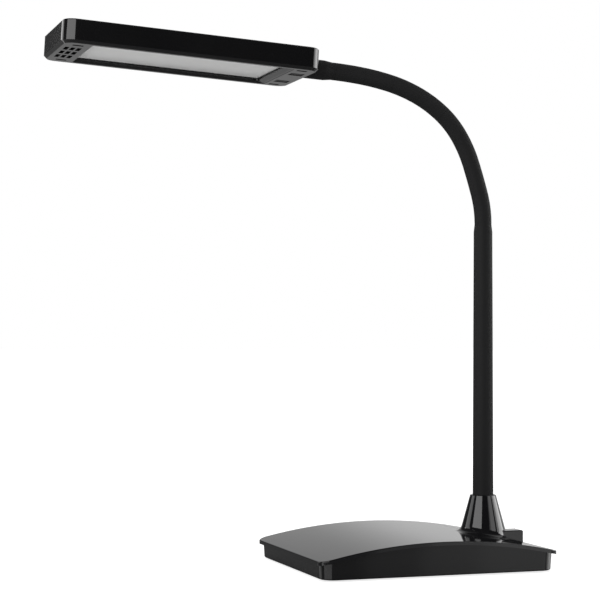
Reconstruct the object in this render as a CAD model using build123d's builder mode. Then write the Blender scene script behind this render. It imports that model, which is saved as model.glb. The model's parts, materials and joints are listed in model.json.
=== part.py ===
from build123d import *
import math
import os

# Gooseneck desk lamp. Millimetres, +Z up. The origin is on the desk, at the centre of the
# base's underside. The neck stands near the +X end and carries the head out towards -X.

# ---------------------------------------------------------------- driving dimensions
# base
pad_proud = 1.0              # how far the anti-slip pad stands out of the tray
pad_recess = 0.6
pad_inset = 9.0
tray_length = 201.4
tray_width = 161.4
tray_corner_r = 11.0
tray_draft = 4.0             # degrees; the walls lean outwards to the top
tray_wall = 2.2
tray_floor = 2.4
tray_foot_edge = 0.8
lip_overhang = 2.3
lip_corner_r = 10.0
cover_end_height = 14.5      # top of the cover at its -X end, above the tray's bottom
cover_rise = 12.6            # crown of the arch above that end
cover_crown_x = 2.4          # the crown is a little towards the post
cover_thickness = 3.0
cover_edge_r = 0.7
skirt_depth = 3.0            # locating rib under the cover, inside the tray's walls
skirt_wall = 1.6
skirt_gap = 0.4
skirt_root = 0.5             # how far the rib reaches into the cover
screw_inset = 17.0           # cover screws, from the tray's outline
screw_boss_r = 4.0
screw_r = 1.5
screw_head_r = 2.8           # over the corners of the hexagon
screw_head_height = 1.8
screw_depth = 9.0            # pilot hole in the cover's bosses
screw_seat_height = 2.6      # pads on the tray's floor that take the screw heads
pilot_gap = 0.1
screw_clearance = 0.3
screw_end_gap = 0.4
# ballast
ballast_thickness = 8.0
ballast_end_gap = 20.7       # from the tray's -X end
ballast_stem_gap = 29.0      # from the post's axis
ballast_side_gap = 2.0       # from the seats of the cover's screws
ballast_corner_r = 6.0
ballast_post_height = 2.0
ballast_post_r = 4.5
ballast_hole_inset = 12.0
rib_wall = 1.6
ballast_shank = 11.0
# collar and post
stem_inset = 27.8            # the post's axis, from the tray's +X end
collar_height = 33.8         # above the cover's surface at the post
collar_top_r = 10.9
collar_slope = 15.3          # degrees from the vertical
collar_foot_r = 6.5
collar_top_edge = 0.5
collar_web = 6.0             # web that the post is bolted through
collar_web_drop = 3.5        # its underside, below the cover's surface
post_bottom_r = 8.9
post_top_r = 7.95
post_shoulder = 6.0          # length of the cone from the post to the flexible neck
post_gap = 0.2
pipe_bore_r = 3.6
pipe_tail = 8.5              # threaded end of the pipe below the web
washer_r = 12.0
washer_thickness = 1.5
nut_flats = 17.0
nut_thickness = 5.0
# inlet housing behind the collar
inlet_y = -8.5
inlet_width = 15.0
inlet_length = 21.5
inlet_height = 10.0          # above the cover's surface at its rear face
inlet_wall = 1.6
inlet_edge_r = 1.3
inlet_set_back = 0.3         # rear face, from the cover's end
jack_size = 7.6
jack_length = 12.0
jack_bore_r = 2.95
jack_bore_depth = 9.5
jack_pin_r = 1.0
jack_gap = 0.1
jack_room = 3.8              # behind the jack, for its lead
# neck
neck_root_z = 287.0          # first joint
neck_r = 7.25
core_r = 5.0
core_bore_r = 3.4
lead_r = 1.8
lead_bend_r = 5.0
lead_floor_gap = 1.4
lead_gap = 0.8               # between the ends of two pieces of the lead and their joint
link_length = 26.05
link_bends = (15.7, 3.0, 13.7, 18.5, 13.8, 11.3, 6.5, 4.35)    # degrees, post to head
link_swing = 15.0            # each joint's travel either way
ball_r = 6.7
ball_gap = 0.2
rim_gap = 0.2
core_gap = 0.3               # between a core and the cup it starts behind
# ferrule between the neck and the head
ferrule_length = 25.4
ferrule_r = 8.15
ferrule_cone = 6.5
stub_r = 4.8
stub_length = 7.5
stub_gap = 0.1
ferrule_nut_flats = 12.4
ferrule_nut_thickness = 3.0
# head
head_length = 208.4
head_width = 92.5
head_corner_r = 10.6
head_top = 8.85              # above the axis of the neck
housing_height = 16.2
head_wall = 2.0
head_edge = 0.8
bezel_bevel = 2.3
bezel_rim_height = 3.0
bezel_rim_wall = 1.5
bezel_gap = 0.25
# light window in the bezel
window_neck_x = 21.0         # from the neck end of the head
window_tip_inset = 24.0      # from its other end
window_side_inset = 6.25
window_edge = 0.35           # broken edge all round
window_slope_neck = 5.8      # how far the walls lean in, at the neck end
window_slope_sides = 1.5
window_slope_height = 1.9
window_upright = 1.4         # straight part of the walls above the slope
window_ledge = 0.8           # seat for the diffuser: width
window_ledge_height = 0.6
window_corner_r = 2.0
frame_wall = 2.0
diffuser_thickness = 2.0
diffuser_margin = 2.6
diffuser_gap = 0.2
reflector_wall = 1.2
reflector_height = 5.1
reflector_lean = 7.0
board_thickness = 1.6
board_margin_x = 3.0
board_margin_y = 2.5
board_corner_r = 3.0
led_columns = 10
led_rows = 4
led_length = 3.5
led_width = 2.8
led_height = 0.8
led_margin_x = 14.25         # from the glass's edge to the outer row's centres
led_margin_y = 13.7
board_hole_inset_x = 12.0
board_hole_inset_y = 2.6
board_post_r = 3.5
# vents, catch windows and keys at the two ends of the bezel
vent_tip_inset = 12.4        # centre of the grille, from the head's tip
vent_pitch_x = 4.85
vent_pitch_y = 17.8
vent_size_x = 3.3
vent_size_y = 12.4
catch_size_x = 8.4
catch_size_y = 4.0
catch_tip_inset = 13.7
catch_tip_side = 12.05       # from the head's long side
catch_neck_x = 13.2
catch_neck_side = 10.05
catch_gap = 0.35
catch_short = 2.2            # the catches end this far inside the bezel's face
key_x = 12.0
key_side = 27.85
key_size_x = 11.0
key_size_y = 10.0
key_gap = 0.25
key_recess = 0.4
key_edge = 0.35
key_flange = 1.0
key_flange_thickness = 0.8
key_travel = 0.8
key_stem_r = 1.6
key_stop_gap = 0.2
switch_size = 6.0
switch_height = 2.5
# control board above the keys
control_x = 7.5
control_length = 14.0
control_side = 15.25         # from the head's long side
control_notch = 12.0
control_notch_depth = 3.0
control_z = -0.9
control_post_inset = 3.0
control_thread = 3.0
board_thread = 3.0
coil_size = (7.0, 7.0, 4.2)
chip_size = (4.0, 5.0, 1.4)
coil_y = -8.5
chip_y = 9.5
jumper_thickness = 0.6
jumper_width = 1.4
jumper_rise = 1.5            # above the light board
jumper_inset = 2.5           # how far its two ends reach over the boards
jumper_y = 3.0

# ---------------------------------------------------------------- derived dimensions
tray_z = pad_proud
floor_z = tray_z + tray_floor
cover_length = tray_length + 2 * lip_overhang
cover_width = tray_width + 2 * lip_overhang
arch_half_span = cover_length / 2 + cover_crown_x
arch_radius = (arch_half_span ** 2 + cover_rise ** 2) / (2 * cover_rise)
arch_centre_z = tray_z + cover_end_height + cover_rise - arch_radius
tall = cover_end_height + cover_rise + collar_height
draft_slope = math.tan(math.radians(tray_draft))
foot_shrink = draft_slope * cover_end_height    # the outline is at its full size under the lip
foot_length = tray_length - 2 * foot_shrink
foot_width = tray_width - 2 * foot_shrink
stem_x = tray_length / 2 - stem_inset
neck_length = link_length * len(link_bends)
rim_height = neck_r * math.tan(math.radians(link_swing / 2)) + rim_gap
cup_r = ball_r + ball_gap
core_start = cup_r + core_gap


def arch_z(x, depth=0.0):
    """Height above the desk of the arched cover's top, or of the arch `depth` below it."""
    return arch_centre_z + math.sqrt((arch_radius - depth) ** 2 - (x - cover_crown_x) ** 2)


def neck_frame(distance):
    """Plane square to the neck's axis, at a distance along it from the first joint."""
    x, z, heading = stem_x, neck_root_z, 0.0
    for bend in link_bends:
        step = min(distance, link_length)
        turn = math.radians(bend) * step / link_length
        chord = step * math.sin(turn / 2) / (turn / 2) if turn else step
        x -= chord * math.sin(heading + turn / 2)
        z += chord * math.cos(heading + turn / 2)
        heading += turn
        distance -= step
    x -= distance * math.sin(heading)
    z += distance * math.cos(heading)
    tangent = (-math.sin(heading), 0, math.cos(heading))
    return Plane(origin=(x, 0, z), x_dir=(0, 1, 0), z_dir=tangent)


def bend_axis(link):
    """Axis that one link of the neck is bent about."""
    root = neck_frame(link * link_length)
    bend_radius = link_length / math.radians(link_bends[link])
    inward = Vector(-root.z_dir.Z, 0, root.z_dir.X)
    return Axis(root.origin + inward * bend_radius, (0, -1, 0))


def link_chord(link, start):
    """Plane square to the straight line between a link's two joints, at a distance along it."""
    here = neck_frame(link * link_length).origin
    there = neck_frame((link + 1) * link_length).origin
    return Plane(origin=here, x_dir=(0, 1, 0), z_dir=there - here).offset(start)


head_face = neck_frame(neck_length + ferrule_length)
head_along = head_face.z_dir
head_up = Vector(head_along.Z, 0, -head_along.X)
head_plane = Plane(origin=head_face.origin, x_dir=head_along, z_dir=head_up)
roof_z = head_top - head_wall               # underside of the housing's roof, in the head's frame
seam_z = head_top - housing_height          # between housing and bezel
bezel_z = seam_z - bezel_bevel              # face of the bezel
window_wall_z = bezel_z + window_slope_height
ledge_z = window_wall_z + window_upright
diffuser_z = ledge_z + window_ledge_height
reflector_z = diffuser_z + diffuser_thickness
board_z = reflector_z + reflector_height
window_length = head_length - window_tip_inset - window_neck_x
window_mid_x = window_neck_x + window_length / 2
window_half_width = head_width / 2 - window_side_inset
wall_length = window_length - window_slope_neck - window_slope_sides
wall_half_width = window_half_width - window_slope_sides
glass_mid_x = window_mid_x + (window_slope_neck - window_slope_sides) / 2
glass_length = wall_length - 2 * window_ledge
glass_half_width = wall_half_width - window_ledge
board_length = glass_length + 2 * board_margin_x
board_width = 2 * (glass_half_width + board_margin_y)
vent_x = head_length - vent_tip_inset
control_width = head_width - 2 * control_side
control_post_y = control_width / 2 - control_post_inset
key_y = head_width / 2 - key_side


def head_level(z):
    """Plane parallel to the head's face, at a height in the head's own frame."""
    return head_plane.offset(z)


def finish(part, label):
    """Name a finished piece and write it."""
    part.label = label
    export_step(part, f"parts/{label}.step")


os.makedirs("parts", exist_ok=True)

# ---------------------------------------------------------------- base: tray
screw_points = [
    (sx * (tray_length / 2 - screw_inset), sy * (tray_width / 2 - screw_inset))
    for sx in (-1, 1)
    for sy in (-1, 1)
]
screw_seat_r = screw_boss_r + 1
ballast_start_x = ballast_end_gap - tray_length / 2
ballast_length = stem_x - ballast_stem_gap - ballast_start_x
ballast_x = ballast_start_x + ballast_length / 2
ballast_width = tray_width - 2 * (screw_inset + screw_seat_r + ballast_side_gap)
ballast_points = [
    (
        ballast_x + sx * (ballast_length / 2 - ballast_hole_inset),
        sy * (ballast_width / 2 - ballast_hole_inset),
    )
    for sx in (-1, 1)
    for sy in (-1, 1)
]
seat_top_z = floor_z + screw_seat_height
ballast_z = floor_z + ballast_post_height

with BuildPart() as base_tray:
    with BuildSketch(Plane.XY.offset(tray_z)):
        RectangleRounded(foot_length, foot_width, tray_corner_r)
    extrude(amount=tall, taper=-tray_draft)
    with BuildSketch(Plane.XY.offset(floor_z)):
        inner = 2 * (tray_wall - draft_slope * tray_floor)
        RectangleRounded(foot_length - inner, foot_width - inner, tray_corner_r - tray_wall)
    extrude(amount=tall, taper=-tray_draft, mode=Mode.SUBTRACT)
    # broken foot edge, then the wall's arched top under the cover
    chamfer(base_tray.faces().sort_by(Axis.Z)[0].outer_wire().edges(), tray_foot_edge)
    with BuildSketch(Plane.XZ):
        Rectangle(2 * cover_length, 2 * tall, align=(Align.CENTER, Align.MIN))
        with Locations((cover_crown_x, arch_centre_z)):
            Circle(arch_radius - cover_thickness, mode=Mode.SUBTRACT)
    extrude(amount=tray_width, both=True, mode=Mode.SUBTRACT)
    # ribs and posts under the ballast, seats for the cover's screws
    with BuildSketch(Plane.XY.offset(floor_z)):
        with Locations((ballast_x, 0)):
            with GridLocations(ballast_length / 3, 0, 3, 1):
                Rectangle(rib_wall, ballast_width)
            with GridLocations(0, ballast_width / 2, 1, 2):
                Rectangle(ballast_length, rib_wall)
        with Locations(*ballast_points):
            Circle(ballast_post_r)
    extrude(amount=ballast_post_height)
    with BuildSketch(Plane.XY.offset(floor_z)):
        with Locations(*screw_points):
            Circle(screw_seat_r)
    extrude(amount=screw_seat_height)
    with BuildSketch(Plane.XY.offset(tray_z)):
        with Locations(*screw_points):
            Circle(screw_r + pilot_gap)
    extrude(amount=tray_floor + screw_seat_height, mode=Mode.SUBTRACT)
    with BuildSketch(Plane.XY.offset(tray_z)):
        with Locations(*screw_points):
            Circle(screw_head_r + 0.2)
    extrude(amount=pad_recess + screw_head_height, mode=Mode.SUBTRACT)
    with BuildSketch(Plane.XY.offset(floor_z + ballast_post_height)):
        with Locations(*ballast_points):
            Circle(screw_r)
    extrude(amount=-(ballast_post_height + tray_floor / 2), mode=Mode.SUBTRACT)
    with BuildSketch(Plane.XY.offset(tray_z)):
        RectangleRounded(foot_length - 2 * pad_inset, foot_width - 2 * pad_inset, tray_corner_r)
    extrude(amount=pad_recess, mode=Mode.SUBTRACT)
finish(base_tray.part, "base_tray")

with BuildPart() as base_pad:
    with BuildSketch():
        pad_gap = 0.3
        RectangleRounded(
            foot_length - 2 * (pad_inset + pad_gap),
            foot_width - 2 * (pad_inset + pad_gap),
            tray_corner_r - pad_gap,
        )
    extrude(amount=pad_proud + pad_recess)
    chamfer(base_pad.faces().sort_by(Axis.Z)[0].edges(), 0.3)
finish(base_pad.part, "base_pad")

# ---------------------------------------------------------------- base: cover with its collar
cover_stem_z = arch_z(stem_x)
collar_top_z = cover_stem_z + collar_height
collar_root_z = arch_z(stem_x + 2 * collar_top_r, cover_thickness)
collar_root_r = collar_top_r + (collar_top_z - collar_root_z) * math.tan(
    math.radians(collar_slope)
)
collar_web_z = cover_stem_z - collar_web_drop
post_seat_z = collar_web_z + collar_web
stem_axis = Axis((stem_x, 0, 0), (0, 0, 1))
inlet_rear_x = cover_length / 2 - inlet_set_back
inlet_top_z = arch_z(inlet_rear_x) + inlet_height
jack_z = inlet_top_z - inlet_wall - jack_size / 2

with BuildPart() as skirt:
    with BuildSketch(Plane.XY.offset(tray_z)):
        outer = 2 * (tray_wall + skirt_gap)
        RectangleRounded(foot_length - outer, foot_width - outer, tray_corner_r - tray_wall)
        inset = outer + 2 * skirt_wall
        RectangleRounded(
            foot_length - inset,
            foot_width - inset,
            tray_corner_r - tray_wall - skirt_wall,
            mode=Mode.SUBTRACT,
        )
    extrude(amount=tall)
    with BuildSketch(Plane.XZ):
        with Locations((cover_crown_x, arch_centre_z)):
            Circle(arch_radius - cover_thickness + skirt_root)
            Circle(arch_radius - cover_thickness - skirt_depth, mode=Mode.SUBTRACT)
    extrude(amount=tray_width, both=True, mode=Mode.INTERSECT)

with BuildPart() as base_cover:
    with BuildSketch(Plane.XY.offset(tray_z)):
        RectangleRounded(cover_length, cover_width, lip_corner_r)
    extrude(amount=tall)
    with BuildSketch(Plane.XZ):
        with Locations((cover_crown_x, arch_centre_z)):
            Circle(arch_radius)
            Circle(arch_radius - cover_thickness, mode=Mode.SUBTRACT)
    extrude(amount=cover_width, both=True, mode=Mode.INTERSECT)
    fillet(base_cover.faces().sort_by(Axis.Z)[-1].outer_wire().edges(), cover_edge_r)
    # collar: a cone that flares out into the cover
    with BuildSketch(Plane.XZ):
        with BuildLine():
            Polyline(
                (stem_x, collar_root_z),
                (stem_x + collar_root_r, collar_root_z),
                (stem_x + collar_top_r, collar_top_z),
                (stem_x, collar_top_z),
                close=True,
            )
        make_face()
    revolve(axis=stem_axis)
    cone = base_cover.faces().filter_by(GeomType.CONE).sort_by(SortBy.AREA)[-1]
    foot = cone.edges().filter_by_position(Axis.Z, collar_root_z + 1, collar_top_z - 1)
    fillet(foot.sort_by(SortBy.LENGTH)[-1], collar_foot_r)
    chamfer(base_cover.faces().sort_by(Axis.Z)[-1].edges(), collar_top_edge)
    # inlet housing, square to the cover's end
    with BuildSketch(Plane.YZ.offset(inlet_rear_x)):
        with Locations((inlet_y, inlet_top_z)):
            Rectangle(inlet_width, inlet_top_z - collar_root_z, align=(Align.CENTER, Align.MAX))
    extrude(amount=-inlet_length)
    inlet_top = base_cover.faces().filter_by(Axis.Z).filter_by_position(
        Axis.Z, inlet_top_z - 0.1, inlet_top_z + 0.1
    )
    fillet(inlet_top.edges(), inlet_edge_r)
    # everything under the cover's own thickness comes away, then the web is put back
    with BuildSketch(Plane.XZ):
        with Locations((cover_crown_x, arch_centre_z)):
            Circle(arch_radius - cover_thickness)
    extrude(amount=cover_width, both=True, mode=Mode.SUBTRACT)
    with BuildSketch(Plane.XY.offset(collar_web_z)):
        with Locations((stem_x, 0)):
            Circle(washer_r + 2)
    extrude(amount=collar_web)
    with BuildSketch(Plane.XY.offset(collar_web_z)):
        with Locations((stem_x, 0)):
            Circle(core_r + post_gap)
    extrude(amount=collar_web, mode=Mode.SUBTRACT)
    with BuildSketch(Plane.XY.offset(collar_web_z)):
        with Locations((stem_x, 0)):
            Circle(washer_r + 1)
    extrude(amount=-collar_web, mode=Mode.SUBTRACT)
    with BuildSketch(Plane.XY.offset(post_seat_z)):
        with Locations((stem_x, 0)):
            Circle(post_bottom_r + post_gap)
    extrude(amount=collar_height + collar_web, mode=Mode.SUBTRACT)
    # pocket for the inlet, and its mouth in the rear face
    with BuildSketch(Plane.YZ.offset(inlet_rear_x - inlet_wall)):
        with Locations((inlet_y, inlet_top_z - inlet_wall)):
            Rectangle(
                jack_size + 2 * jack_gap,
                inlet_top_z - collar_root_z,
                align=(Align.CENTER, Align.MAX),
            )
    extrude(amount=-(jack_length + jack_room), mode=Mode.SUBTRACT)
    with BuildSketch(Plane.YZ.offset(inlet_rear_x)):
        with Locations((inlet_y, jack_z)):
            Circle(jack_bore_r + 0.3)
    extrude(amount=-2 * inlet_wall, mode=Mode.SUBTRACT)
    # bosses for the cover's screws
    for x, y in screw_points:
        with BuildSketch(Plane.XY.offset(seat_top_z)):
            with Locations((x, y)):
                Circle(screw_boss_r)
        extrude(amount=arch_z(x, cover_thickness / 2) - seat_top_z)
        with BuildSketch(Plane.XY.offset(seat_top_z)):
            with Locations((x, y)):
                Circle(screw_r)
        extrude(amount=screw_depth, mode=Mode.SUBTRACT)
    add(skirt.part)
finish(base_cover.part, "base_cover")

# ---------------------------------------------------------------- base: ballast, screws, inlet
with BuildPart() as ballast_plate:
    with BuildSketch(Plane.XY.offset(ballast_z)):
        with Locations((ballast_x, 0)):
            RectangleRounded(ballast_length, ballast_width, ballast_corner_r)
        with Locations(*ballast_points):
            Circle(screw_r + screw_clearance, mode=Mode.SUBTRACT)
    extrude(amount=ballast_thickness)
finish(ballast_plate.part, "ballast_plate")


def hexagon_screws(seat, points, shank):
    """Hexagon-head screws with their heads on the seat plane's front and shanks behind it."""
    with BuildPart() as screws:
        with BuildSketch(seat):
            with Locations(*points):
                RegularPolygon(screw_head_r, 6)
        extrude(amount=screw_head_height)
        with BuildSketch(seat):
            with Locations(*points):
                Circle(screw_r)
        extrude(amount=-shank)
    return screws.part


def facing_down(plane):
    """The same plane with its front side turned over."""
    return Plane(origin=plane.origin, x_dir=plane.x_dir, z_dir=-plane.z_dir)


finish(
    hexagon_screws(Plane.XY.offset(ballast_z + ballast_thickness), ballast_points, ballast_shank),
    "ballast_screws",
)
base_seat_z = tray_z + pad_recess + screw_head_height
finish(
    hexagon_screws(
        facing_down(Plane.XY.offset(base_seat_z)),
        screw_points,
        seat_top_z + screw_depth - base_seat_z - screw_end_gap,
    ),
    "base_screws",
)

jack_front_x = inlet_rear_x - inlet_wall
with BuildPart() as dc_jack:
    with BuildSketch(Plane.YZ.offset(jack_front_x)):
        with Locations((inlet_y, jack_z)):
            Rectangle(jack_size, jack_size)
    extrude(amount=-jack_length)
    with BuildSketch(Plane.YZ.offset(jack_front_x)):
        with Locations((inlet_y, jack_z)):
            Circle(jack_bore_r)
            Circle(jack_pin_r, mode=Mode.SUBTRACT)
    extrude(amount=-jack_bore_depth, mode=Mode.SUBTRACT)
finish(dc_jack.part, "dc_jack")

lead_x = jack_front_x - jack_length - lead_r
lead_z = floor_z + lead_r + lead_floor_gap
with BuildPart() as supply_lead:
    with BuildLine() as route:
        FilletPolyline(
            (lead_x, inlet_y, jack_z),
            (lead_x, inlet_y, lead_z),
            (stem_x, 0, lead_z),
            (stem_x, 0, neck_root_z - lead_gap),
            radius=lead_bend_r,
        )
    with BuildSketch(Plane(origin=route.line @ 0, z_dir=route.line % 0)):
        Circle(lead_r)
    sweep()
finish(supply_lead.part, "supply_lead")

# ---------------------------------------------------------------- base: post
pipe_root_z = collar_web_z - pipe_tail
with BuildPart() as post_pipe:
    with BuildSketch(Plane.XY.offset(pipe_root_z)):
        with Locations((stem_x, 0)):
            Circle(core_r)
            Circle(pipe_bore_r, mode=Mode.SUBTRACT)
    extrude(amount=neck_root_z - pipe_root_z)
finish(post_pipe.part, "post_pipe")

with BuildPart() as post_sleeve:
    with BuildSketch(Plane.XZ):
        with BuildLine():
            rim_z = neck_root_z - rim_height
            Polyline(
                (stem_x, post_seat_z),
                (stem_x + post_bottom_r, post_seat_z),
                (stem_x + post_top_r, rim_z - post_shoulder),
                (stem_x + neck_r, rim_z),
                (stem_x, rim_z),
                close=True,
            )
        make_face()
    revolve(axis=stem_axis)
    with Locations((stem_x, 0, neck_root_z)):
        Sphere(ball_r)
    with BuildSketch(Plane.XY.offset(post_seat_z)):
        with Locations((stem_x, 0)):
            Circle(core_r)
    extrude(amount=neck_root_z + ball_r, mode=Mode.SUBTRACT)
finish(post_sleeve.part, "post_sleeve")

with BuildPart() as post_washer:
    with BuildSketch(Plane.XY.offset(collar_web_z)):
        with Locations((stem_x, 0)):
            Circle(washer_r)
            Circle(core_r + post_gap, mode=Mode.SUBTRACT)
    extrude(amount=-washer_thickness)
finish(post_washer.part, "post_washer")


def hexagon_nut(face, flats, bore, thickness):
    """Hexagon nut standing on the front of a plane, about the plane's origin."""
    with BuildPart() as nut:
        with BuildSketch(face):
            RegularPolygon(flats / 2, 6, major_radius=False)
            Circle(bore, mode=Mode.SUBTRACT)
        extrude(amount=thickness)
    return nut.part


washer_face = Plane(origin=(stem_x, 0, collar_web_z - washer_thickness), z_dir=(0, 0, -1))
finish(hexagon_nut(washer_face, nut_flats, core_r, nut_thickness), "post_nut")

# ---------------------------------------------------------------- neck: ball-and-cup links
for link, bend in enumerate(link_bends):
    here = neck_frame(link * link_length)
    there = neck_frame((link + 1) * link_length)
    chord = (there.origin - here.origin).length

    with BuildPart() as neck_sleeve:
        with BuildSketch(neck_frame(link * link_length + rim_height)):
            Circle(neck_r)
        revolve(
            axis=bend_axis(link), revolution_arc=bend * (1 - 2 * rim_height / link_length)
        )
        with Locations(there):
            Sphere(ball_r)
        with Locations(here):
            Sphere(cup_r, mode=Mode.SUBTRACT)
        with BuildSketch(link_chord(link, 0)):
            Circle(core_r)
        extrude(amount=chord + ball_r, mode=Mode.SUBTRACT)
    finish(neck_sleeve.part, f"neck_sleeve_{link + 1}")

    # the liner ends at the joint, so that the next lead can swing in the ball's wider bore
    with BuildPart() as neck_core:
        with BuildSketch(link_chord(link, core_start)):
            Circle(core_r)
            Circle(core_bore_r, mode=Mode.SUBTRACT)
        extrude(amount=chord - core_start)
    finish(neck_core.part, f"neck_core_{link + 1}")

    with BuildPart() as neck_lead:
        with BuildSketch(link_chord(link, lead_gap)):
            Circle(lead_r)
        extrude(amount=chord - 2 * lead_gap)
    finish(neck_lead.part, f"neck_lead_{link + 1}")

# ---------------------------------------------------------------- head: ferrule
last_joint = neck_frame(neck_length)
with BuildPart() as neck_ferrule:
    with BuildSketch(last_joint.offset(rim_height)):
        Circle(neck_r)
    with BuildSketch(last_joint.offset(rim_height + ferrule_cone)):
        Circle(ferrule_r)
    loft()
    with BuildSketch(last_joint.offset(rim_height + ferrule_cone)):
        Circle(ferrule_r)
    extrude(amount=ferrule_length - rim_height - ferrule_cone)
    with BuildSketch(head_face):
        Circle(stub_r)
    extrude(amount=stub_length)
    with Locations(last_joint):
        Sphere(cup_r, mode=Mode.SUBTRACT)
    with BuildSketch(last_joint):
        Circle(core_bore_r)
    extrude(amount=ferrule_length + stub_length, mode=Mode.SUBTRACT)
finish(neck_ferrule.part, "neck_ferrule")

finish(
    hexagon_nut(
        head_face.offset(head_wall), ferrule_nut_flats, stub_r, ferrule_nut_thickness
    ),
    "ferrule_nut",
)

# ---------------------------------------------------------------- head: housing
head_mid_x = head_length / 2
board_points = [
    (
        glass_mid_x + sx * (board_length / 2 - board_hole_inset_x),
        sy * (board_width / 2 - board_hole_inset_y),
    )
    for sx in (-1, 1)
    for sy in (-1, 1)
]
control_mid_x = control_x + control_length / 2
control_points = [(control_mid_x, sy * control_post_y) for sy in (-1, 1)]
catch_points = [
    (x, sy * y)
    for x, y in (
        (head_length - catch_tip_inset, head_width / 2 - catch_tip_side),
        (catch_neck_x, head_width / 2 - catch_neck_side),
    )
    for sy in (-1, 1)
]
board_top_z = board_z + board_thickness
control_top_z = control_z + board_thickness

with BuildPart() as head_housing:
    with BuildSketch(head_level(seam_z)):
        with Locations((head_mid_x, 0)):
            RectangleRounded(head_length, head_width, head_corner_r)
    extrude(amount=housing_height)
    top = head_housing.faces().sort_by(Axis(head_plane.origin, head_up))[-1]
    chamfer(top.edges(), head_edge)
    with BuildSketch(head_level(seam_z)):
        with Locations((head_mid_x, 0)):
            RectangleRounded(
                head_length - 2 * head_wall, head_width - 2 * head_wall, head_corner_r - head_wall
            )
    extrude(amount=housing_height - head_wall, mode=Mode.SUBTRACT)
    with BuildSketch(head_face):
        Circle(stub_r + stub_gap)
    extrude(amount=head_wall, mode=Mode.SUBTRACT)
    # catches for the bezel, posts for the two boards
    with BuildSketch(head_level(bezel_z + catch_short)):
        with Locations(*catch_points):
            Rectangle(catch_size_x - 2 * catch_gap, catch_size_y - 2 * catch_gap)
    extrude(amount=roof_z - bezel_z - catch_short)
    for points, level, thread in (
        (board_points, board_top_z, board_thread),
        (control_points, control_top_z, control_thread),
    ):
        with BuildSketch(head_level(level)):
            with Locations(*points):
                Circle(board_post_r)
        extrude(amount=roof_z - level)
        with BuildSketch(head_level(level)):
            with Locations(*points):
                Circle(screw_r)
        extrude(amount=thread + screw_end_gap, mode=Mode.SUBTRACT)
finish(head_housing.part, "head_housing")

# ---------------------------------------------------------------- head: bezel and light window
with BuildPart() as head_bezel:
    with BuildSketch(head_level(bezel_z)):
        with Locations((head_mid_x, 0)):
            RectangleRounded(
                head_length - 2 * bezel_bevel,
                head_width - 2 * bezel_bevel,
                head_corner_r - bezel_bevel,
            )
    extrude(amount=bezel_bevel, taper=-45)
    # rim inside the housing's walls, open in front of the ferrule's nut
    rim_inset = 2 * (head_wall + bezel_gap)
    with BuildSketch(head_level(seam_z)):
        with Locations((head_mid_x, 0)):
            RectangleRounded(
                head_length - rim_inset, head_width - rim_inset, head_corner_r - rim_inset / 2
            )
            rim_inset += 2 * bezel_rim_wall
            RectangleRounded(
                head_length - rim_inset,
                head_width - rim_inset,
                head_corner_r - rim_inset / 2,
                mode=Mode.SUBTRACT,
            )
        Rectangle(2 * head_corner_r, 2 * ferrule_nut_flats, mode=Mode.SUBTRACT)
    extrude(amount=bezel_rim_height)
    # frame that holds the diffuser, and the sloping walls of the window
    with BuildSketch(head_level(seam_z)):
        with Locations((window_mid_x, 0)):
            RectangleRounded(
                window_length + 2 * frame_wall,
                2 * (window_half_width + frame_wall),
                window_corner_r + frame_wall,
            )
    extrude(amount=reflector_z - seam_z)
    with BuildSketch(head_level(diffuser_z)):
        with Locations((glass_mid_x, 0)):
            RectangleRounded(
                glass_length + 2 * (diffuser_margin + diffuser_gap),
                2 * (glass_half_width + diffuser_margin + diffuser_gap),
                window_corner_r + diffuser_gap,
            )
    extrude(amount=diffuser_thickness, mode=Mode.SUBTRACT)
    with BuildSketch(head_level(bezel_z)):
        with Locations((window_mid_x, 0)):
            RectangleRounded(window_length, 2 * window_half_width, window_corner_r)
    with BuildSketch(head_level(window_wall_z)):
        with Locations((glass_mid_x, 0)):
            RectangleRounded(wall_length, 2 * wall_half_width, window_corner_r)
    loft(mode=Mode.SUBTRACT)
    for level, length, half_width, height in (
        (window_wall_z, wall_length, wall_half_width, window_upright),
        (ledge_z, glass_length, glass_half_width, window_ledge_height),
    ):
        with BuildSketch(head_level(level)):
            with Locations((glass_mid_x, 0)):
                RectangleRounded(length, 2 * half_width, window_corner_r)
        extrude(amount=height, mode=Mode.SUBTRACT)
    with BuildSketch(head_level(bezel_z)):
        with Locations((window_mid_x, 0)):
            RectangleRounded(
                window_length + 2 * window_edge,
                2 * (window_half_width + window_edge),
                window_corner_r + window_edge,
            )
    extrude(amount=window_edge, taper=45, mode=Mode.SUBTRACT)
    # vents, catch windows and the openings for the two keys
    with BuildSketch(head_level(bezel_z)):
        with Locations((vent_x, 0)):
            with GridLocations(vent_pitch_x, vent_pitch_y, 3, 3):
                Rectangle(vent_size_x, vent_size_y)
        with Locations(*catch_points):
            Rectangle(catch_size_x, catch_size_y)
        with Locations((key_x, key_y), (key_x, -key_y)):
            Rectangle(key_size_x + 2 * key_gap, key_size_y + 2 * key_gap)
    extrude(amount=bezel_bevel, mode=Mode.SUBTRACT)
finish(head_bezel.part, "head_bezel")

# ---------------------------------------------------------------- head: light
with BuildPart() as diffuser:
    with BuildSketch(head_level(diffuser_z)):
        with Locations((glass_mid_x, 0)):
            RectangleRounded(
                glass_length + 2 * diffuser_margin,
                2 * (glass_half_width + diffuser_margin),
                window_corner_r,
            )
    extrude(amount=diffuser_thickness)
finish(diffuser.part, "diffuser")

with BuildPart() as reflector:
    for grown, mode in ((reflector_wall, Mode.ADD), (0, Mode.SUBTRACT)):
        for level, lean in ((reflector_z, 0), (board_z, reflector_lean)):
            with BuildSketch(head_level(level)):
                with Locations((glass_mid_x, 0)):
                    RectangleRounded(
                        glass_length + 2 * (grown - lean),
                        2 * (glass_half_width + grown - lean),
                        window_corner_r,
                    )
        loft(mode=mode)
finish(reflector.part, "reflector")

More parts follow.
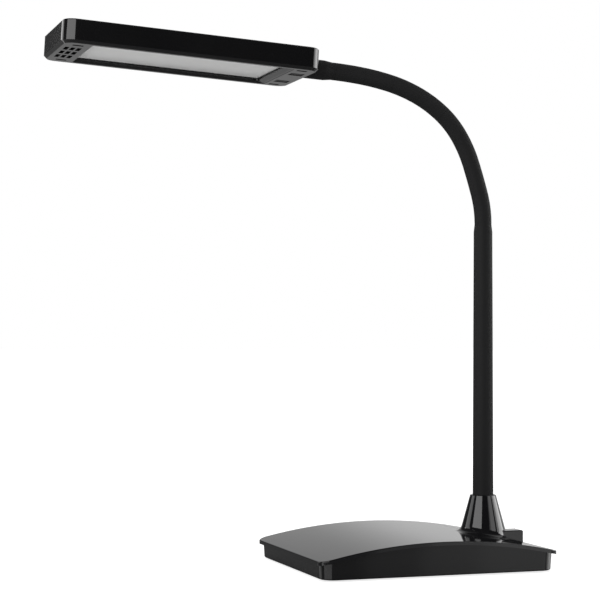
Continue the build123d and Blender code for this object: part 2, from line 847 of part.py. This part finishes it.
with BuildPart() as led_board:
    with BuildSketch(head_level(board_z)):
        with Locations((glass_mid_x, 0)):
            RectangleRounded(board_length, board_width, board_corner_r)
        with Locations(*board_points):
            Circle(screw_r + screw_clearance, mode=Mode.SUBTRACT)
    extrude(amount=board_thickness)
finish(led_board.part, "led_board")

with BuildPart() as leds:
    with BuildSketch(head_level(board_z)):
        with Locations((glass_mid_x, 0)):
            with GridLocations(
                (glass_length - 2 * led_margin_x) / (led_columns - 1),
                2 * (glass_half_width - led_margin_y) / (led_rows - 1),
                led_columns,
                led_rows,
            ):
                Rectangle(led_length, led_width)
    extrude(amount=-led_height)
finish(leds.part, "leds")

finish(
    hexagon_screws(facing_down(head_level(board_z)), board_points, board_thickness + board_thread),
    "board_screws",
)

# ---------------------------------------------------------------- head: control board and keys
with BuildPart() as control_board:
    with BuildSketch(head_level(control_z)):
        with Locations((control_mid_x, 0)):
            Rectangle(control_length, control_width)
        with Locations((control_x, 0)):
            Rectangle(2 * control_notch_depth, control_notch, mode=Mode.SUBTRACT)
        with Locations(*control_points):
            Circle(screw_r + screw_clearance, mode=Mode.SUBTRACT)
    extrude(amount=board_thickness)
finish(control_board.part, "control_board")

finish(
    hexagon_screws(
        facing_down(head_level(control_z)), control_points, board_thickness + control_thread
    ),
    "control_screws",
)


def board_box(level, points, size):
    """Plain boxes standing on the control board."""
    with BuildPart() as boxes:
        with BuildSketch(level):
            with Locations(*points):
                Rectangle(size[0], size[1])
        extrude(amount=size[2])
    return boxes.part


component_x = control_mid_x + control_notch_depth / 2
finish(board_box(head_level(control_top_z), [(component_x, coil_y)], coil_size), "driver_coil")
finish(board_box(head_level(control_top_z), [(component_x, chip_y)], chip_size), "driver_chip")
finish(
    board_box(
        facing_down(head_level(control_z)),
        [(key_x, key_y), (key_x, -key_y)],
        (switch_size, switch_size, switch_height),
    ),
    "key_switches",
)

with BuildPart() as head_lead:
    with BuildSketch(last_joint.offset(lead_gap)):
        Circle(lead_r)
    extrude(amount=ferrule_length + control_x + control_notch_depth - lead_gap)
finish(head_lead.part, "head_lead")

# flat bridges from the control board over the edge of the light board
jumper_start = control_x + control_length - jumper_inset
jumper_end = glass_mid_x - board_length / 2 + jumper_inset
jumper_top = board_top_z + jumper_rise
jumper_face = Plane(
    origin=head_face.origin, x_dir=head_along, z_dir=Vector(head_along).cross(head_up)
)
with BuildPart() as led_jumpers:
    for side in (-1, 1):
        with BuildSketch(jumper_face.offset(side * jumper_y - jumper_width / 2)):
            with BuildLine():
                Polyline(
                    (jumper_start, control_top_z),
                    (jumper_start, jumper_top),
                    (jumper_end, jumper_top),
                    (jumper_end, board_top_z),
                    (jumper_end - jumper_thickness, board_top_z),
                    (jumper_end - jumper_thickness, jumper_top - jumper_thickness),
                    (jumper_start + jumper_thickness, jumper_top - jumper_thickness),
                    (jumper_start + jumper_thickness, control_top_z),
                    close=True,
                )
            make_face()
        extrude(amount=jumper_width)
finish(led_jumpers.part, "led_jumpers")

# each key: cap in its opening, flange behind the bezel, stem towards its switch
flange_z = seam_z + key_stop_gap
switch_z = control_z - switch_height
for label, side in (("power_key", 1), ("dimmer_key", -1)):
    with BuildPart() as key:
        for level, width, depth, height in (
            (bezel_z + key_recess, 0, 0, flange_z - bezel_z - key_recess),
            (flange_z, key_flange, key_flange, key_flange_thickness),
        ):
            with BuildSketch(head_level(level)):
                with Locations((key_x, side * key_y)):
                    Rectangle(key_size_x + 2 * width, key_size_y + 2 * depth)
            extrude(amount=height)
        cap = key.faces().sort_by(Axis(head_plane.origin, head_up))[0]
        chamfer(cap.edges(), key_edge)
        stem_z = flange_z + key_flange_thickness
        with BuildSketch(head_level(stem_z)):
            with Locations((key_x, side * key_y)):
                Circle(key_stem_r)
        extrude(amount=switch_z - key_travel - key_stop_gap - stem_z)
    finish(key.part, label)
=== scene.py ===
import json
import math

import bpy
from mathutils import Matrix, Vector

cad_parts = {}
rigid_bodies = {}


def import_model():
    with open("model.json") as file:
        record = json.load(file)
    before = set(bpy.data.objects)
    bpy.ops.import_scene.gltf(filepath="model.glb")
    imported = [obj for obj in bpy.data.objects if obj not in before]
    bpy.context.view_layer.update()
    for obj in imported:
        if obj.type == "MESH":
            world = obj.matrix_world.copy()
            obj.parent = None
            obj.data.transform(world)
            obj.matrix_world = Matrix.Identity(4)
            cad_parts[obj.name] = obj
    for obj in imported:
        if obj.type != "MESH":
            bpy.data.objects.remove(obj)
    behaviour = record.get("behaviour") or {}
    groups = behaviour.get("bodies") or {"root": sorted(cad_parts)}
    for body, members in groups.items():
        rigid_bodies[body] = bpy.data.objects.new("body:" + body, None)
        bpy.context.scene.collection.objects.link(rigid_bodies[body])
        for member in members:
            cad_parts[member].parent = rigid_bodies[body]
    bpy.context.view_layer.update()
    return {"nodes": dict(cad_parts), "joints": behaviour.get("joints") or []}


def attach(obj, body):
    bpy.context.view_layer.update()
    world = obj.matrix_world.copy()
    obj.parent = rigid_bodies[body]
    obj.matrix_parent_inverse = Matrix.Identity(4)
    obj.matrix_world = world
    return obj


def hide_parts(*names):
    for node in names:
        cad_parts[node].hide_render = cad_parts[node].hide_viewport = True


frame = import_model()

nodes = frame["nodes"]
scene = bpy.context.scene
scene.view_settings.view_transform = "Standard"

# ---------------------------------------------------------------- camera
# fitted to the base, the post and the head in the photograph
CAMERA_PLACE = Vector((-0.54183, -1.30176, 0.18666))
CAMERA_RIGHT = Vector((0.94523104, -0.32639008, 0.0027917))
CAMERA_UP = Vector((-0.01057549, -0.02207611, 0.99970036))
CAMERA_LENS = 100.568          # millimetres
CAMERA_SENSOR = 36             # millimetres
CAMERA_REACH = 50              # metres

camera = bpy.data.objects.new("camera", bpy.data.cameras.new("camera"))
scene.collection.objects.link(camera)
camera.data.lens = CAMERA_LENS
camera.data.sensor_width = CAMERA_SENSOR
camera.data.clip_end = CAMERA_REACH
camera.data.dof.use_dof = False
towards = CAMERA_UP.cross(CAMERA_RIGHT).normalized()
turned = Matrix((CAMERA_RIGHT, CAMERA_UP, -towards)).transposed().to_4x4()
camera.matrix_world = Matrix.Translation(CAMERA_PLACE) @ turned
scene.camera = camera

# ---------------------------------------------------------------- shader helpers
NOISE_LOW = 0.3                # most of a noise texture's values lie between these two
NOISE_HIGH = 0.7
MIX_SOCKETS = (0, 2, 3)        # factor and the two values of a Mix node for numbers


def new_material(name):
    """Empty material with its output and one Principled shader."""
    material = bpy.data.materials.new(name)
    material.use_nodes = True
    tree = material.node_tree
    tree.nodes.clear()
    output = tree.nodes.new("ShaderNodeOutputMaterial")
    shader = tree.nodes.new("ShaderNodeBsdfPrincipled")
    tree.links.new(shader.outputs[0], output.inputs[0])
    return material, tree, shader


def add(tree, kind, **values):
    """A node with some of its settings and sockets filled in."""
    node = tree.nodes.new("ShaderNode" + kind)
    for key, value in values.items():
        if hasattr(node, key):
            setattr(node, key, value)
        else:
            node.inputs[key.replace("_", " ")].default_value = value
    return node


def feed(tree, socket, value):
    """Link an output to a socket, or set the socket to a number."""
    if isinstance(value, bpy.types.NodeSocket):
        tree.links.new(value, socket)
    else:
        socket.default_value = value


def work(tree, operation, *values):
    """Arithmetic on outputs and numbers."""
    node = add(tree, "Math", operation=operation)
    for socket, value in zip(node.inputs, values):
        feed(tree, socket, value)
    return node.outputs[0]


def choose(tree, factor, first, second):
    """The first value where the factor is 0, the second where it is 1."""
    node = add(tree, "Mix", data_type="FLOAT")
    for socket, value in zip(MIX_SOCKETS, (factor, first, second)):
        feed(tree, node.inputs[socket], value)
    return node.outputs[0]


def ease(tree, source, change, low, high):
    """From low to high, smoothly, while the source goes through the change."""
    node = add(tree, "MapRange", interpolation_type="SMOOTHSTEP",
               From_Min=change[0], From_Max=change[1], To_Min=low)
    feed(tree, node.inputs["To Max"], high)
    tree.links.new(source, node.inputs["Value"])
    return node.outputs[0]


def in_mirror(tree, path):
    """1 for what is seen in a reflection or through something clear, otherwise 0."""
    return work(tree, "MAXIMUM", path.outputs["Is Glossy Ray"],
                path.outputs["Is Transmission Ray"])


def noise(tree, scale, detail, roughness=0.5, stretch=(1, 1, 1)):
    """Noise over the object's own coordinates, per metre."""
    place = add(tree, "TexCoord")
    mapping = add(tree, "Mapping")
    mapping.inputs["Scale"].default_value = stretch
    tree.links.new(place.outputs["Object"], mapping.inputs["Vector"])
    texture = add(tree, "TexNoise", Scale=scale, Detail=detail, Roughness=roughness)
    tree.links.new(mapping.outputs[0], texture.inputs["Vector"])
    return texture.outputs["Fac"]


def spread(tree, source, low, high):
    """Map noise to a range."""
    node = add(tree, "MapRange", From_Min=NOISE_LOW, From_Max=NOISE_HIGH,
               To_Min=low, To_Max=high)
    tree.links.new(source, node.inputs["Value"])
    return node.outputs[0]


def tint(tree, source, dark, light):
    """Mix two colours by noise."""
    node = add(tree, "ValToRGB")
    node.color_ramp.elements[0].position = NOISE_LOW
    node.color_ramp.elements[1].position = NOISE_HIGH
    node.color_ramp.elements[0].color = (*dark, 1)
    node.color_ramp.elements[1].color = (*light, 1)
    tree.links.new(source, node.inputs[0])
    return node.outputs[0]


def bump(tree, shader, height, strength, distance):
    """Bump on a shader from noise; the distance is in metres."""
    node = add(tree, "Bump", Strength=strength, Distance=distance)
    tree.links.new(height, node.inputs["Height"])
    tree.links.new(node.outputs[0], shader.inputs["Normal"])


CLOUD_DETAIL = 5.0
CLOUD_ROUGHNESS = 0.6
GRAIN_DETAIL = 2.0
GRAIN_STRENGTH = 0.5
MARKS_DETAIL = 3.0
MARKS_ROUGHNESS = 0.6
MARKS_STRENGTH = 0.3
MARKS_DEPTH = 0.00003


def plastic(name, dark, light, rough, grain, depth, wear=6.0, shine=0.5):
    """Moulded plastic: a slight cloud in colour and polish, and a fine grain."""
    material, tree, shader = new_material(name)
    cloud = noise(tree, wear, CLOUD_DETAIL, CLOUD_ROUGHNESS)
    tree.links.new(tint(tree, cloud, dark, light), shader.inputs["Base Color"])
    tree.links.new(spread(tree, cloud, *rough), shader.inputs["Roughness"])
    shader.inputs["Specular IOR Level"].default_value = shine
    bump(tree, shader, noise(tree, grain, GRAIN_DETAIL), GRAIN_STRENGTH, depth)
    return material


def metal(name, dark, light, rough, stretch=(1, 1, 1), grain=900.0):
    """Bare metal with drawn or rolled marks."""
    material, tree, shader = new_material(name)
    marks = noise(tree, grain, MARKS_DETAIL, MARKS_ROUGHNESS, stretch)
    tree.links.new(tint(tree, marks, dark, light), shader.inputs["Base Color"])
    tree.links.new(spread(tree, marks, *rough), shader.inputs["Roughness"])
    shader.inputs["Metallic"].default_value = 1.0
    bump(tree, shader, marks, MARKS_STRENGTH, MARKS_DEPTH)
    return material


def dress(material, *names):
    """Give whole CAD nodes one material."""
    for name in names:
        for slot in nodes[name].material_slots:
            slot.material = material


# ---------------------------------------------------------------- materials
LINKS = range(1, 9)

gloss = plastic("gloss_black", (0.0028, 0.0028, 0.0031), (0.005, 0.005, 0.0053),
                rough=(0.045, 0.075), grain=2500, depth=0.0000012)
cover_gloss = plastic("cover_black", (0.0035, 0.0035, 0.004), (0.006, 0.006, 0.0065),
                      rough=(0.05, 0.085), grain=2500, depth=0.0000012)
tray_gloss = plastic("tray_black", (0.0025, 0.0025, 0.0028), (0.0045, 0.0045, 0.0048),
                     rough=(0.07, 0.1), grain=2500, depth=0.0000015)
satin = plastic("post_satin", (0.0103, 0.0103, 0.0106), (0.0128, 0.0128, 0.0132),
                rough=(0.56, 0.64), grain=4200, depth=0.00002, shine=0.13)
neck_skin = plastic("neck_rubber", (0.0108, 0.0108, 0.0111), (0.0133, 0.0133, 0.0137),
                    rough=(0.6, 0.68), grain=4200, depth=0.00002, shine=0.12)
key_matt = plastic("key_matt", (0.014, 0.014, 0.0145), (0.019, 0.019, 0.0195),
                   rough=(0.5, 0.6), grain=5200, depth=0.00002)
opal = plastic("diffuser_opal", (0.80, 0.80, 0.795), (0.84, 0.84, 0.835),
               rough=(0.2, 0.26), grain=3000, depth=0.000004, wear=10)
white = plastic("reflector_white", (0.82, 0.82, 0.81), (0.87, 0.87, 0.86),
                rough=(0.3, 0.4), grain=2500, depth=0.000004)
foam = plastic("pad_foam", (0.018, 0.018, 0.018), (0.03, 0.03, 0.03),
               rough=(0.85, 0.95), grain=1400, depth=0.0002, wear=60)
jack_black = plastic("jack_black", (0.012, 0.012, 0.012), (0.017, 0.017, 0.017),
                     rough=(0.4, 0.5), grain=3500, depth=0.00001)
jacket = plastic("lead_jacket", (0.018, 0.018, 0.018), (0.026, 0.026, 0.026),
                 rough=(0.45, 0.6), grain=2500, depth=0.00001)
red_jacket = plastic("jumper_jacket", (0.4, 0.012, 0.01), (0.5, 0.02, 0.015),
                     rough=(0.4, 0.5), grain=2500, depth=0.00001)
zinc = metal("zinc_screw", (0.5, 0.5, 0.51), (0.68, 0.68, 0.7), rough=(0.3, 0.42))
steel = metal("rolled_steel", (0.2, 0.2, 0.205), (0.3, 0.3, 0.305),
              rough=(0.38, 0.55), stretch=(1, 8, 1), grain=120)
tube = metal("drawn_steel", (0.42, 0.42, 0.43), (0.55, 0.55, 0.56),
             rough=(0.25, 0.4), stretch=(12, 12, 1), grain=120)
coil = metal("wound_steel", (0.32, 0.32, 0.33), (0.48, 0.48, 0.49),
             rough=(0.3, 0.45), grain=1500)
board_white = plastic("board_white", (0.72, 0.73, 0.7), (0.8, 0.81, 0.78),
                      rough=(0.3, 0.4), grain=1800, depth=0.00001)
board_green = plastic("board_green", (0.01, 0.09, 0.03), (0.02, 0.14, 0.05),
                      rough=(0.3, 0.4), grain=1800, depth=0.00001, wear=90)
ferrite = plastic("coil_ferrite", (0.03, 0.03, 0.032), (0.06, 0.06, 0.062),
                  rough=(0.6, 0.75), grain=2600, depth=0.00004)
epoxy = plastic("chip_epoxy", (0.01, 0.01, 0.01), (0.016, 0.016, 0.016),
                rough=(0.5, 0.6), grain=5000, depth=0.00001)
phosphor = plastic("led_phosphor", (0.78, 0.6, 0.12), (0.85, 0.68, 0.18),
                   rough=(0.3, 0.4), grain=3000, depth=0.00001, wear=400)

dress(cover_gloss, "base_cover")
dress(tray_gloss, "base_tray")
dress(gloss, "head_housing", "head_bezel")
dress(satin, "post_sleeve", "neck_ferrule")
dress(neck_skin, *[f"neck_sleeve_{i}" for i in LINKS])
dress(coil, *[f"neck_core_{i}" for i in LINKS])
dress(jacket, "supply_lead", "head_lead", *[f"neck_lead_{i}" for i in LINKS])
dress(red_jacket, "led_jumpers")
dress(foam, "base_pad")
dress(jack_black, "dc_jack", "key_switches")
dress(key_matt, "power_key", "dimmer_key")
dress(opal, "diffuser")
dress(white, "reflector")
dress(board_white, "led_board")
dress(board_green, "control_board")
dress(ferrite, "driver_coil")
dress(epoxy, "driver_chip")
dress(phosphor, "leds")
dress(steel, "ballast_plate")
dress(tube, "post_pipe")
dress(zinc, "ballast_screws", "base_screws", "board_screws", "control_screws",
      "post_washer", "post_nut", "ferrule_nut")

# ---------------------------------------------------------------- neck skin
# The eight links as lengths of one smooth hose. A ball on the upper end of each length fills the
# gap to the next, and turns in a cup there, so that the hose stays closed when a joint bends. The
# last length has a cup at both ends, and the ball for its upper cup sits on the ferrule.
NECK_R = 0.00725
BALL_R = 0.00723
CUP_R = 0.007245
BORE_R = 0.00505
NECK_RIM = 0.0011              # from a joint to the ends of the two lengths that meet there
END_RIM = 0.00115              # from the first and last joints to the rims of post and ferrule
END_BALL_R = 0.0069            # inside of the balls on post and ferrule
BALL_REACH = math.radians(25)
SHARP_ANGLE = math.radians(35)
LINK_RINGS = 26
DOME_RINGS = 12
RING_POINTS = 64

hinges = [joint for joint in frame["joints"] if joint["type"] == "hinge"]
joint_places = [Vector(joint["pos_m"]) for joint in hinges]


def along(heading):
    """Direction in the neck's plane, at an angle from the vertical towards the head."""
    return Vector((-math.sin(heading), 0, math.cos(heading)))


def dome(centre, radius, start, stop, lean, last_lean=None):
    """Rings on a ball about a joint, from one angle above its plane to another."""
    found = []
    for step in range(DOME_RINGS + 1):
        share = step / DOME_RINGS
        rise = start + (stop - start) * share
        tilt = lean if last_lean is None else lean + (last_lean - lean) * share
        found.append((centre + along(tilt) * radius * math.sin(rise), tilt,
                      radius * math.cos(rise)))
    return found


def shell(name, body, rings):
    """Closed skin through rings that go up outside and come back down inside."""
    mesh = bpy.data.meshes.new(name)
    points = []
    for place, lean, radius in rings:
        inward = Vector((math.cos(lean), 0, math.sin(lean)))
        for spoke in range(RING_POINTS):
            turn = 2 * math.pi * spoke / RING_POINTS
            side = Vector((0, math.sin(turn), 0))
            points.append(place + (inward * math.cos(turn) + side) * radius)
    faces = []
    for ring in range(len(rings)):
        low, high = ring * RING_POINTS, (ring + 1) % len(rings) * RING_POINTS
        for spoke in range(RING_POINTS):
            beside = (spoke + 1) % RING_POINTS
            faces.append((low + spoke, low + beside, high + beside, high + spoke))
    mesh.from_pydata(points, [], faces)
    mesh.update()
    for polygon in mesh.polygons:
        polygon.use_smooth = True
    mesh.set_sharp_from_angle(angle=SHARP_ANGLE)
    mesh.materials.append(neck_skin)
    piece = bpy.data.objects.new(name, mesh)
    scene.collection.objects.link(piece)
    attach(piece, body)
    return piece


ball_start = math.asin(NECK_RIM / BALL_R)
cup_start = math.asin(NECK_RIM / CUP_R)
cup_stop = math.acos(BORE_R / CUP_R)
end_start = math.asin(END_RIM / BALL_R)
end_inner = math.asin(END_RIM / END_BALL_R)

shell("neck_skin_0", hinges[0]["parent"],
      dome(joint_places[0], BALL_R, -end_start, BALL_REACH, 0.0)
      + dome(joint_places[0], END_BALL_R, BALL_REACH, -end_inner, 0.0))

# each length is an arc from joint to joint that starts in the direction the one below ended in
heading = 0.0
for number, (here, there) in enumerate(zip(joint_places, joint_places[1:]), start=1):
    chord = there - here
    straight = math.atan2(-chord.x, chord.z)
    half = straight - heading
    arc = half / math.sin(half) * chord.length
    rings = []
    for step in range(LINK_RINGS + 1):
        share = NECK_RIM / arc + (1 - 2 * NECK_RIM / arc) * step / LINK_RINGS
        swept = half * share
        reach = arc * share * math.sin(swept) / swept
        rings.append((here + along(heading + swept) * reach, heading + 2 * swept, NECK_R))
    last = heading + 2 * half
    if there is joint_places[-1]:
        rings += dome(there, CUP_R, -cup_start, -cup_stop, last, straight)
    else:
        rings += dome(there, BALL_R, -ball_start, BALL_REACH, last, straight)
        rings.append((rings[-1][0], straight, BORE_R))
    rings += dome(here, CUP_R, cup_stop, cup_start, straight, heading)
    piece = shell(f"neck_skin_{number}", hinges[number - 1]["child"], rings)
    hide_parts(f"neck_sleeve_{number}")
    heading = last

shell("neck_skin_9", hinges[-1]["child"],
      dome(joint_places[-1], BALL_R, -BALL_REACH, end_start, heading)
      + dome(joint_places[-1], END_BALL_R, end_inner, -BALL_REACH, heading))

# ---------------------------------------------------------------- studio
# floor: white to the eye, keeps the object's shadow, and a grey polished sheet in reflections
FLOOR_HALF = 30
FLOOR_DROP = 0.0004
FLOOR_DIFFUSE = 0.42
FLOOR_CLOUD = 0.01             # either way from that tone
FLOOR_CLOUD_SCALE = 3.0
FLOOR_CLOUD_DETAIL = 2.0
FLOOR_ROUGHNESS = 0.9
FLOOR_SEEN = 0.8
FLOOR_FAR_SEEN = 1.0
FLOOR_MIRRORED = 0.2
FLOOR_FAR_MIRRORED = 0.42
FLOOR_POLISH = 0.08
FLOOR_FADE = (0.35, 1.2)       # from near to far, from the middle

floor_mesh = bpy.data.meshes.new("floor")
floor_mesh.from_pydata([(-FLOOR_HALF, -FLOOR_HALF, 0), (FLOOR_HALF, -FLOOR_HALF, 0),
                        (FLOOR_HALF, FLOOR_HALF, 0), (-FLOOR_HALF, FLOOR_HALF, 0)],
                       [], [(0, 1, 2, 3)])
floor = bpy.data.objects.new("floor", floor_mesh)
scene.collection.objects.link(floor)
floor.location.z = -FLOOR_DROP

material, tree, shader = new_material("floor_paper")
cloud = noise(tree, FLOOR_CLOUD_SCALE, FLOOR_CLOUD_DETAIL)
tone = (FLOOR_DIFFUSE - FLOOR_CLOUD,) * 3, (FLOOR_DIFFUSE + FLOOR_CLOUD,) * 3
tree.links.new(tint(tree, cloud, *tone), shader.inputs["Base Color"])
shader.inputs["Roughness"].default_value = FLOOR_ROUGHNESS
shader.inputs["Specular IOR Level"].default_value = 0.0
shader.inputs["Emission Color"].default_value = (1, 1, 1, 1)
path = add(tree, "LightPath")
geometry = add(tree, "NewGeometry")
far_off = add(tree, "VectorMath", operation="LENGTH")
tree.links.new(geometry.outputs["Position"], far_off.inputs[0])
whiter = ease(tree, far_off.outputs["Value"], FLOOR_FADE, FLOOR_SEEN, FLOOR_FAR_SEEN)
seen = work(tree, "MULTIPLY", path.outputs["Is Camera Ray"], whiter)
tree.links.new(seen, shader.inputs["Emission Strength"])

polished = add(tree, "BsdfPrincipled")
greyer = ease(tree, far_off.outputs["Value"], FLOOR_FADE, FLOOR_MIRRORED, FLOOR_FAR_MIRRORED)
tree.links.new(greyer, polished.inputs["Base Color"])
polished.inputs["Roughness"].default_value = FLOOR_POLISH
chosen = add(tree, "MixShader")
tree.links.new(in_mirror(tree, path), chosen.inputs[0])
tree.links.new(shader.outputs[0], chosen.inputs[1])
tree.links.new(polished.outputs[0], chosen.inputs[2])
tree.links.new(chosen.outputs[0], tree.nodes["Material Output"].inputs[0])
floor_mesh.materials.append(material)

# world: white behind the lamp to the eye; in reflections pale behind it and on the right
WORLD_LIGHT = 0.45             # what it sheds on rough surfaces
WORLD_DARK = 0.04              # in reflections, all round; the next four come on top, behind
WORLD_LEFT = 0.03
WORLD_PALE = 0.6               # on the right, at the horizon
WORLD_HIGH = 0.12              # on the right, overhead
WORLD_PATCH = 0.22             # far on the right, above the horizon
LEFT_TO_RIGHT = (-0.12, 0.12)  # parts of the direction over which each change runs
FRONT_TO_BACK = (-0.1, 0.3)
INTO_PATCH = (0.28, 0.42)
PAST_HORIZON = (-0.02, 0.14)

world = bpy.data.worlds.new("studio")
scene.world = world
world.use_nodes = True
tree = world.node_tree
tree.nodes.clear()
output = add(tree, "OutputWorld")
background = add(tree, "Background")
background.inputs["Color"].default_value = (1, 1, 1, 1)
tree.links.new(background.outputs[0], output.inputs[0])
place = add(tree, "TexCoord")
apart = add(tree, "SeparateXYZ")
tree.links.new(place.outputs["Generated"], apart.inputs[0])
paler = add(tree, "MapRange", From_Min=0, From_Max=1, To_Min=WORLD_PALE, To_Max=WORLD_HIGH)
tree.links.new(apart.outputs["Z"], paler.inputs["Value"])
rightwards = ease(tree, apart.outputs["X"], LEFT_TO_RIGHT, WORLD_LEFT, paler.outputs[0])
backwards = ease(tree, apart.outputs["Y"], FRONT_TO_BACK, 0, 1)
aside = ease(tree, apart.outputs["X"], INTO_PATCH, 0, WORLD_PATCH)
lifted = ease(tree, apart.outputs["Z"], PAST_HORIZON, 0, 1)
patch = work(tree, "MULTIPLY_ADD", aside, lifted, rightwards)
pale = work(tree, "MULTIPLY_ADD", patch, backwards, WORLD_DARK)
path = add(tree, "LightPath")
mirrored = choose(tree, in_mirror(tree, path), WORLD_LIGHT, pale)
seen = choose(tree, path.outputs["Is Camera Ray"], mirrored, 1.0)
tree.links.new(seen, background.inputs["Strength"])


def lamp(name, middle, across, up, size, radiance):
    """Area lamp with one radiance all over; it shines against the direction of across x up."""
    data = bpy.data.lights.new(name, "AREA")
    data.shape = "RECTANGLE"
    data.size, data.size_y = size
    data.energy = radiance * math.pi * size[0] * size[1]
    light = bpy.data.objects.new(name, data)
    scene.collection.objects.link(light)
    axes = Matrix((across, up, across.cross(up))).transposed().to_4x4()
    light.matrix_world = Matrix.Translation(middle) @ axes
    light.visible_camera = False
    return light


def softbox(name, left, right, low, high, radiance):
    """Upright softbox between two points of the plan, lit towards the object."""
    span = Vector((left[0] - right[0], left[1] - right[1], 0))
    middle = Vector(((left[0] + right[0]) / 2, (left[1] + right[1]) / 2, (low + high) / 2))
    lamp(name, middle, span.normalized(), Vector((0, 0, 1)), (span.length, high - low),
         radiance)


TOP_PLACE = Vector((-0.1, -0.1, 1.9))
TOP_SIZE = (1.8, 1.8)
TOP_RADIANCE = 1.6
# name: left end and right end in plan, bottom, top, radiance
SOFTBOXES = {
    "left_back": ((-0.65, 0.2), (-0.62, 0.72), 0.1, 0.62, 1.75),
    "left_back_far": ((-0.62, 0.72), (-0.46, 0.72), 0.4, 0.62, 2.8),
    "left_front": ((-0.423, -0.769), (-1.227, -0.101), 0.1, 0.66, 3.4),
    "front_right_fade": ((0.37, -0.957), (0.30, -0.99), 0.06, 0.5, 0.6),
    "front_right_edge": ((0.44, -0.92), (0.37, -0.957), 0.06, 0.5, 1.3),
    "front_right": ((0.80, -0.69), (0.44, -0.92), 0.06, 0.5, 1.95),
    "right_edge": ((1.93, -0.75), (1.92, -1.255), 0.25, 0.95, 2.3),
    "right": ((1.81, 0.456), (1.92, -0.73), 0.25, 0.95, 5.2),
    "right_back": ((1.80, 0.99), (1.81, 0.62), 0.25, 0.95, 1.3),
}

top = lamp("top", TOP_PLACE, Vector((1, 0, 0)), Vector((0, 1, 0)), TOP_SIZE, TOP_RADIANCE)
top.visible_glossy = False
for name, settings in SOFTBOXES.items():
    softbox(name, *settings)
